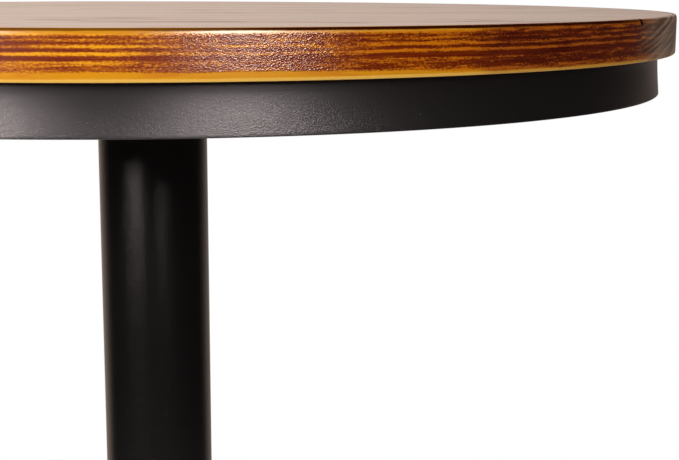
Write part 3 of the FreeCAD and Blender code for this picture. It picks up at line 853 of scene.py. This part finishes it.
def board_wood(name, seed, near, far, ring_curve, ring_tilt, ring_lift, pith_depth, pith_offset):
    """Scorched, brushed and lacquered pine with its grain along X. At the rim the growth rings are shells
    that curve down across the board. On the faces they are rounds about a pith that lies under the board and
    drifts along it. Dark latewood lies at chosen depths in the rings, broken up by specks."""
    material, place, feed = new_finish(name, lacquer)
    x, y, z = place.parts()
    shift = tuple(seed * step for step in board_shift)
    shifted = place.node("VectorMath", {"operation": "ADD"}, {0: place, 1: shift})
    across = y - (near + far) / 2
    depth = wood_high - z
    height = z - wood_low
    inward = rim_radius - (x * x + y * y).root()
    on_rim = inward.rise(*rim_skin)
    endwise = abs(x) / rim_radius

    # Stain has soaked into the rim towards the board's ends, and evenly into the faces.
    patches = shifted.noise(patch_lumps, 3, 0.6)
    soaked_end = (endwise + 0.06 * (patches - 0.5)).rise(*soak_shares)
    rim_stain = end_stain * endwise.rise(*stain_shares) + (1 - end_stain) * soaked_end
    soak = face_stain + on_rim * (rim_stain - face_stain)
    deep = soak.rise(0.3, 1.0)

    # Growth rings, as a depth through them at the rim and as a distance from the pith on the faces.
    sway = shifted.noise(sway_lumps, 2) - 0.5
    ripple = shifted.noise(ripple_lumps, 2) - 0.5
    drift = shifted.noise(drift_lumps, 2) - 0.5
    ring = depth + ring_curve * across * across + ring_tilt * across - ring_lift
    beside_pith = across - pith_offset
    above_pith = pith_depth + depth + pith_slope * x + pith_drift * drift
    trunk = (beside_pith * beside_pith + above_pith * above_pith).root()

    def latewood(level):
        """How dark the rings are at a level through them."""
        level = (level + ring_sway * sway + ring_ripple * ripple) / wood_thickness
        shade = level.node("ValToRGB", {"stops": latewood_stops}, {0: level.math("FRACT", level)})
        return shade.node("RGBToBW", inputs={0: shade})

    # The lines are faded and broken into specks and streaks. Where the right lamp's glare falls on the rim,
    # they are blurred towards an even brown and speckled more strongly: painted glints.
    fade = shifted.noise(fade_lumps, 2).rise(0.3, 0.68)
    specks = shifted.noise(speck_lumps, 3, 0.6)
    fibre = shifted.noise(fibre_lumps, 4, 0.6)
    glare_zone = on_rim * x.rise(*glare_zone_start) * (1 - x.rise(*glare_zone_end))
    blurred = 0.14 * on_rim * (1 - x.rise(*soft_lines_end)) + 0.58 * glare_zone
    streaky = on_rim * x.rise(*streaky_start)
    late = latewood(trunk)
    late = late + on_rim * (latewood(ring) - late)
    late = late * (0.95 + 0.25 * fade)
    late = late + blurred * (0.7 - late) + 0.5 * (patches - 0.5) + 0.15 * soak
    speckle = (0.9 + 0.6 * streaky + 0.6 * glare_zone) * (specks - 0.5)
    dark = (late + speckle + (0.9 + 0.9 * streaky) * (fibre - 0.5)).rise(0.0, 0.9)

    # Sanded strips run along both edges of the rim. The lower corner is pale: partly sanded bare wood, and
    # partly a painted reflection of light caught by the rounded corner.
    wander = strip_wander * (shifted.noise(strip_lumps, 3) - 0.5)
    wander = wander + strip_speckle * (specks - 0.5)
    upper_thin = upper_strip_thinning * endwise.rise(*upper_thin_shares)
    upper_strip = on_rim * (1 - (depth + wander + upper_thin).rise(*upper_strip_depth))
    lower_thin = lower_strip_thinning * endwise.rise(*lower_thin_shares)
    lower_thin = lower_thin + soaked_strip_thinning * deep
    lower_wander = (1 + endwise.rise(*lower_wander_shares)) * wander
    lower_strip = on_rim * (1 - (height + lower_wander + lower_thin).rise(*lower_strip_height))
    sanded = upper_strip.larger(lower_strip) * (1 - 0.25 * deep)
    brushed = on_rim * (1 - sanded)
    pale = on_rim * (1 - (height + 0.4 * wander).rise(*pale_edge_height)) * (1 - 0.4 * deep)

    # Colour: early wood to late wood, then the strips, the ends' cut grain and scorch marks on the faces.
    tone = shifted.noise(tone_lumps, 4, 0.65).rise(0.35, 0.75) * (0.4 + 0.6 * soak)
    early = soak.rise(0.0, end_stain).between(early_colour, early_stained_colour)
    early = deep.between(early, early_soaked_colour)
    middle = soak.between(middle_colour, middle_soaked_colour)
    late_dark = soak.between(late_colour, late_soaked_colour)
    late_light = soak.between(late_pale_colour, late_soaked_pale_colour)
    wood = dark.rise(0.0, 0.6).between(early, middle)
    wood = dark.rise(0.4, 1.0).between(wood, tone.between(late_dark, late_light))
    sanded_tone = shifted.noise(sanded_lumps, 3, 0.6).rise(0.45, 0.75)
    sanded_wood = deep.between(sanded_tone.between(sanded_colour, sanded_deep_colour), sanded_soaked_colour)
    wood = sanded.between(wood, sanded_wood)
    wood = pale.between(wood, pale_wood_and_sheen_colour)
    upright, sideways = end_scratch_slant
    scratch_across = end_scratch_lumps[0] * (upright * z - sideways * y)
    scratch_along = end_scratch_lumps[1] * (sideways * z + upright * y)
    slant = x.node("CombineXYZ", inputs={0: scratch_across, 1: scratch_along, 2: seed * 3.0})
    scratches = slant.node("TexNoise", inputs={"Vector": slant, "Scale": 1.0, "Detail": 2.0})
    scratches = scratches.rise(0.4, 0.62)
    end_grain = on_rim * endwise.rise(*end_grain_shares)
    wood = (0.8 * end_grain).between(wood, scratches.between(end_grain_colour, end_scratch_colour))
    scorched = shifted.noise(scorch_lumps, 2).rise(0.56, 0.7) * (1 - on_rim)
    wood = (0.5 * scorched).between(wood, late_soaked_colour)

    # The brushed rim sparkles and has hardly any lacquer left, and the faces' lacquer is streaky.
    sparkle_strength = 0.25 + 0.75 * x.rise(*sparkle_start) - 0.3 * x.rise(*sparkle_end)
    sparkle = shifted.dimples(sparkle_lumps) * sparkle_strength
    face_streaks = shifted.noise(streak_lumps, 3, 0.6).rise(0.52, 0.72) * (1 - on_rim)
    dull = 0.1 + 0.11 * sanded + 0.11 * glare_zone * brushed + 0.3 * end_grain + 0.08 * face_streaks
    dull = dull + 0.07 * upper_strip * x.rise(*dull_strip_start)
    dull = dull + 0.1 * brushed * (1 - x.rise(*dull_brush_end))
    coat = 1 - 0.98 * brushed - 0.85 * lower_strip - 0.9 * upper_strip
    feed(
        Base_Color=wood,
        Roughness=dull,
        Coat_Weight=coat - 0.85 * face_streaks - 0.75 * scorched,
        Normal=(brushed * (0.53 * sparkle + 0.2 * specks) + 0.03 * fibre).relief(wood_relief),
    )

    # Char at the upper corner and in the opened glue lines is matt, without lacquer. At the upper corner,
    # the dark band is also painted shade, lighter on the left and fading towards the ends.
    burnt_depth = burnt_depth_left + burnt_depth_growth * x.rise(*burnt_deeper)
    burnt_depth = burnt_depth + burnt_wander * (shifted.noise(burnt_lumps, 3) - 0.5)
    charred_and_shaded = inward.rise(*burnt_skin) * (1 - (depth - burnt_depth).rise(*burnt_edge))
    charred_and_shaded = charred_and_shaded * depth.rise(*burnt_start) * (1 - 0.8 * endwise.rise(*burnt_fade_shares))
    charred_and_shaded = charred_and_shaded * (0.75 + 0.25 * x.rise(*burnt_and_shade_darker))
    for seam in (near, far):
        if abs(seam) < rim_radius - seam_gap:
            opened = seam_gap * inward.rise(*glue_skin)
            glue = 1 - (abs(y - seam) - opened).rise(*glue_edge)
            charred_and_shaded = charred_and_shaded.larger(glue * (1 - depth.rise(*glue_depth)))
    nodes = material.node_tree.nodes
    lacquered = Tint(nodes["Principled BSDF"].outputs[0])
    char_and_shade = place.node("BsdfDiffuse", inputs={"Color": burnt_and_shade_colour})
    surface = place.node("MixShader", inputs={0: charred_and_shaded, 1: lacquered, 2: char_and_shade})
    place.feed(nodes["Material Output"].inputs["Surface"], surface)
    return material


for number, ((low, high), rings) in enumerate(zip(board_boxes, board_rings), 1):
    wood = board_wood(f"board_wood_{number}", number, low.y, high.y, *rings)
    board = board_shell(low.y, high.y)
    add_piece(f"pine_board_{number}", board, wood, [f"top_board_{number}"])

# Wood screws: zinc-plated steel with pan heads and a cross recess. They are driven up through the arms and
# the lugs into the boards, and hold the top on its frame.

screw_radius = 0.00225
screw_pitch = 0.002
screw_thread_steps = 24
screw_head_radius = 0.00475
screw_head_height = 0.0032
screw_recess_width = 0.0012
screw_recess_span = 0.0052
screw_recess_depth = 0.0016
screw_steps = 96
recess_shares = np.linspace(0, 0.7, 22)
dome_shares = np.linspace(0.74, 1, 8)
dome_power = 4
arm_screw_circles = (0.1524, 0.2921)
lug_screw_circle = 0.3257


def pan_head(bottom, seat):
    """A domed head seen from below: a quarter of a rounded oval turned round Z, pressed in at its middle
    along the two bars of a cross, each with sloping sides."""
    angle = np.linspace(0, 2 * np.pi, screw_steps, endpoint=False)[:, None]
    share = np.concatenate([recess_shares, dome_shares])[None, :]
    radius = screw_head_radius * share
    rise = (seat - bottom) * (1 - np.sqrt(1 - share**dome_power))
    x, y = radius * np.cos(angle), radius * np.sin(angle)
    slope = screw_recess_width / 4
    pressed = np.zeros_like(x)
    for aside, along in ((x, y), (y, x)):
        in_width = np.clip((screw_recess_width / 2 - np.abs(aside)) / slope + 0.5, 0, 1)
        in_span = np.clip((screw_recess_span / 2 - np.abs(along)) / slope + 0.5, 0, 1)
        pressed = np.maximum(pressed, in_width * in_span)
    grid = np.stack([x, y, bottom + rise + screw_recess_depth * pressed], -1)
    middle = np.broadcast_to((0.0, 0.0, seat), (screw_steps, 1, 3))
    return shell(np.concatenate([grid, middle], 1), True, False)


for node, patterns in (
    ("arm_screws", [(circle, arm_turns) for circle in arm_screw_circles]),
    ("lug_screws", [(lug_screw_circle, lug_turns)]),
):
    screw_low, screw_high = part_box(node)
    seat = screw_low.z + screw_head_height
    thread_start = seat - screw_head_height / 4
    screw = joined(
        pan_head(screw_low.z, seat),
        threaded_rod(screw_radius, screw_pitch, thread_start, screw_high.z, screw_thread_steps),
    )
    screws = joined(*[ring_of(screw, circle, turns) for circle, turns in patterns])
    add_piece(f"{node[:3]}_pan_screws", screws, bright_zinc, [node])

# Studio: a pale floor that keeps the table's shadow and fades into a white room. Mirrored in the table, the
# room is dark with a warm bright backdrop behind it. Two soft lamps stand in front, the larger one on the
# left, and two more behind.

floor_reach = 1.6
floor_ring_count = 40
floor_steps = 96
floor_colour = (0.65, 0.65, 0.65)
floor_least_white = 0.45
floor_fade = (0.6, 1.5)

floor_rings = np.linspace(0, floor_reach, floor_ring_count)
floor_grid = turned(np.stack([floor_rings, 0 * floor_rings], -1), floor_steps)
floor_points, floor_quads = shell(floor_grid, True, False)
floor_mesh = bpy.data.meshes.new("floor")
floor_mesh.from_pydata(floor_points.tolist(), [], floor_quads.tolist())
floor = bpy.data.objects.new("floor", floor_mesh)
bpy.context.scene.collection.objects.link(floor)
floor_finish = bpy.data.materials.new("pale_floor")
floor_finish.use_nodes = True
floor_nodes = floor_finish.node_tree.nodes
place = Tint(floor_nodes.new("ShaderNodeTexCoord").outputs["Object"])
seen = place.node("LightPath", output="Is Camera Ray")
x, y = place.parts()[:2]
away = (x * x + y * y).root()
matt = place.node("BsdfDiffuse", inputs={"Color": floor_colour})
white = place.node("Emission", inputs={"Color": (1, 1, 1), "Strength": 1.0})
shown_white = (floor_least_white + (1 - floor_least_white) * away.rise(*floor_fade)) * seen
shown = place.node("MixShader", inputs={0: shown_white, 1: matt, 2: white})
place.feed(floor_nodes["Material Output"].inputs["Surface"], shown)
floor_mesh.materials.append(floor_finish)

ambient_colour = (0.29, 0.29, 0.29)
dark_room_colour = (0.02, 0.018, 0.017)
backdrop_colour = (0.65, 0.52, 0.44)
backdrop_side_edge = (0.61, 1.0)
backdrop_height_edge = (0.25, 0.7)
backdrop_left = 1.12
backdrop_fall = 0.37
backdrop_fall_reach = (-0.4, 0.5)
sweep_strength = 0.7
sweep_side_edge = (0.45, 0.7)
sweep_drop = (0.03, 0.12)

world = bpy.data.worlds.new("studio")
bpy.context.scene.world = world
world.use_nodes = True
world_nodes = world.node_tree.nodes
direction = Tint(world_nodes.new("ShaderNodeTexCoord").outputs["Generated"])
toward_x, toward_y, toward_z = direction.parts()
backdrop = toward_y.rise(*backdrop_side_edge) * (1 - abs(toward_z).rise(*backdrop_height_edge))
sweep = sweep_strength * toward_y.rise(*sweep_side_edge) * (0 - toward_z).rise(*sweep_drop)
backdrop_strength = backdrop_left - backdrop_fall * toward_x.rise(*backdrop_fall_reach)
backdrop = backdrop.larger(sweep) * backdrop_strength
path = direction.node("LightPath", output="Is Camera Ray")
mirrored = path.beside("Is Glossy Ray").larger(path.beside("Is Transmission Ray"))
shown = mirrored.between(ambient_colour, backdrop.between(dark_room_colour, backdrop_colour))
direction.feed(world_nodes["Background"].inputs["Color"], path.between(shown, (1, 1, 1)))

lamp_aim = Vector((0.0, -0.35, 1.05))


def add_lamp(name, azimuth, elevation, distance, width, height, watts):
    """A soft rectangular lamp aimed at the front of the top, unseen by the camera. Azimuth 0 is straight in
    front, positive to the right."""
    lamp = bpy.data.lights.new(name, "AREA")
    lamp.shape = "RECTANGLE"
    lamp.size = width
    lamp.size_y = height
    lamp.energy = watts
    azimuth, elevation = np.radians(azimuth), np.radians(elevation)
    level = np.cos(elevation)
    away = Vector((np.sin(azimuth) * level, -np.cos(azimuth) * level, np.sin(elevation)))
    thing = bpy.data.objects.new(name, lamp)
    thing.location = lamp_aim + away * distance
    thing.rotation_euler = away.to_track_quat("Z", "Y").to_euler()
    thing.visible_camera = False
    bpy.context.scene.collection.objects.link(thing)


add_lamp("left_lamp", azimuth=-49.5, elevation=13.3, distance=1.6, width=0.9, height=0.34, watts=23.5)
add_lamp("right_lamp", azimuth=17.8, elevation=16, distance=1.6, width=0.46, height=0.34, watts=10.3)
add_lamp("back_left_lamp", azimuth=-140, elevation=38, distance=2.2, width=0.9, height=0.6, watts=14)
add_lamp("back_right_lamp", azimuth=130, elevation=38, distance=2.2, width=0.9, height=0.6, watts=14)

# Camera: a little above the top's level and close in front of the rim, turned right and down, with no shift.
# Its place, turns and lens are fitted to the rim, the band and the column's sides in the photograph.

photo_width = 679
lens_pixels = 1383
sensor_width = 36.0
near_clip = 0.01
camera_distance = 0.9804
camera_rise = 0.0218
camera_place = Vector((0.0, -camera_distance, wood_high + camera_rise))
camera_yaw, camera_pitch, camera_roll = np.radians((7.73, 10.31, 0.172))

camera_data = bpy.data.cameras.new("camera")
camera_data.sensor_width = sensor_width
camera_data.lens = sensor_width * lens_pixels / photo_width
camera_data.clip_start = near_clip
camera = bpy.data.objects.new("camera", camera_data)
level = np.cos(camera_pitch)
ahead = Vector((np.sin(camera_yaw) * level, np.cos(camera_yaw) * level, -np.sin(camera_pitch)))
level_right = Vector((np.cos(camera_yaw), -np.sin(camera_yaw), 0.0))
level_up = level_right.cross(ahead)
right = np.cos(camera_roll) * level_right + np.sin(camera_roll) * level_up
up = np.cos(camera_roll) * level_up - np.sin(camera_roll) * level_right
camera.matrix_world = Matrix.Translation(camera_place) @ Matrix((right, up, -ahead)).transposed().to_4x4()
bpy.context.scene.collection.objects.link(camera)
bpy.context.scene.camera = camera
bpy.context.scene.view_settings.view_transform = "Standard"
